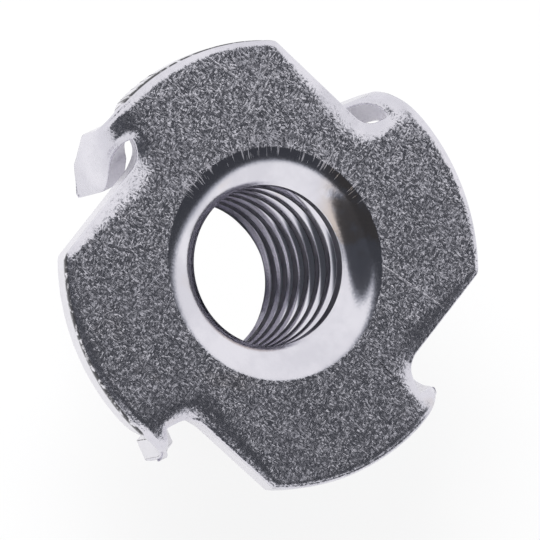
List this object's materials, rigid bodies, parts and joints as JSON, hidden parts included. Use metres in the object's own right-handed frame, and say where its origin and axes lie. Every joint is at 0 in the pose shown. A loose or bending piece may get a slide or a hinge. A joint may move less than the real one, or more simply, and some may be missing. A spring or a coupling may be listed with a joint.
{
  "type": "drive-in t-nut",
  "caption": "Pronged t-nut pressed from one steel sheet: round lobed flange, four bent prongs, flared mouth and a threaded barrel.",
  "frame": {"origin": "centre of the barrel's open end, on the plane that the nut stands on", "axes": "+Z along the thread's axis, from the barrel's end towards the flange's face; +X through the corner of one lobe"},
  "size_m": [0.025, 0.025, 0.012],
  "materials": {
    "zinc_steel": "bright zinc plating, satin with fine tumbling marks"
  },
  "bodies": {
    "root": {"tee_nut": "zinc_steel"}
  },
  "joints": []
}
